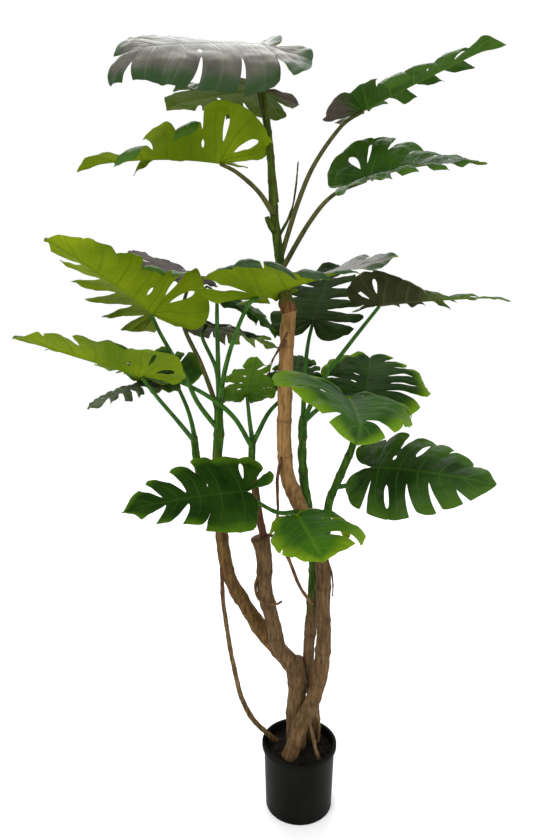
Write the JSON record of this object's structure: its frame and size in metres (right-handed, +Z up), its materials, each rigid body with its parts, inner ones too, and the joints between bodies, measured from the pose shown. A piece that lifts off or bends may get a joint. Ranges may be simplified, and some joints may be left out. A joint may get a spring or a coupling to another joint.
{
  "type": "potted monstera plant",
  "caption": "Tall potted monstera with several canes, hanging roots and broad split leaves on long stalks, in a plain round nursery pot.",
  "frame": {"origin": "centre of the pot's underside", "axes": "+Z up along the plant, front of the plant towards -Y"},
  "size_m": [1.0393, 0.5395, 1.8341],
  "materials": {
    "pot": "near-black satin plastic",
    "soil": "dark crumbly fill",
    "bark": "brown grooved bark",
    "green_stem": "mottled green satin",
    "root": "dry brown root",
    "blade": "satin green upper side, yellow-green underside",
    "stalk": "satin green"
  },
  "bodies": {
    "root": {"blade_centre_dark": "blade", "blade_centre_front": "blade", "blade_centre_hanging": "blade", "blade_centre_left_back": "blade", "blade_crown_back": "blade", "blade_front_large": "blade", "blade_front_low": "blade", "blade_left_back": "blade", "blade_left_bottom": "blade", "blade_left_broad": "blade", "blade_left_drooping": "blade", "blade_left_low": "blade", "blade_left_low_back": "blade", "blade_right_back": "blade", "blade_right_high": "blade", "blade_right_long": "blade", "blade_right_low": "blade", "blade_small_back": "blade", "blade_small_front": "blade", "blade_top": "blade", "blade_upper_left": "blade", "blade_upper_right": "blade", "left_cane": "bark", "left_shoot": "green_stem", "main_cane": "bark", "pot": "pot", "right_shoot": "green_stem", "right_stem": "green_stem", "root_centre": "root", "root_foot_right": "root", "root_hanging": "root", "root_left_long": "root", "root_right": "root", "sheath": "green_stem", "soil": "soil", "stalk_centre_dark": "stalk", "stalk_centre_front": "stalk", "stalk_centre_hanging": "stalk", "stalk_centre_left_back": "stalk", "stalk_crown_back": "stalk", "stalk_front_large": "stalk", "stalk_front_low": "stalk", "stalk_left_back": "stalk", "stalk_left_bottom": "stalk", "stalk_left_broad": "stalk", "stalk_left_drooping": "stalk", "stalk_left_low": "stalk", "stalk_left_low_back": "stalk", "stalk_right_back": "stalk", "stalk_right_high": "stalk", "stalk_right_long": "stalk", "stalk_right_low": "stalk", "stalk_small_back": "stalk", "stalk_small_front": "stalk", "stalk_upper_left": "stalk", "stalk_upper_right": "stalk", "stub_cane": "bark", "stub_shoot": "bark", "trunk": "bark", "upper_stem": "green_stem"}
  },
  "joints": []
}
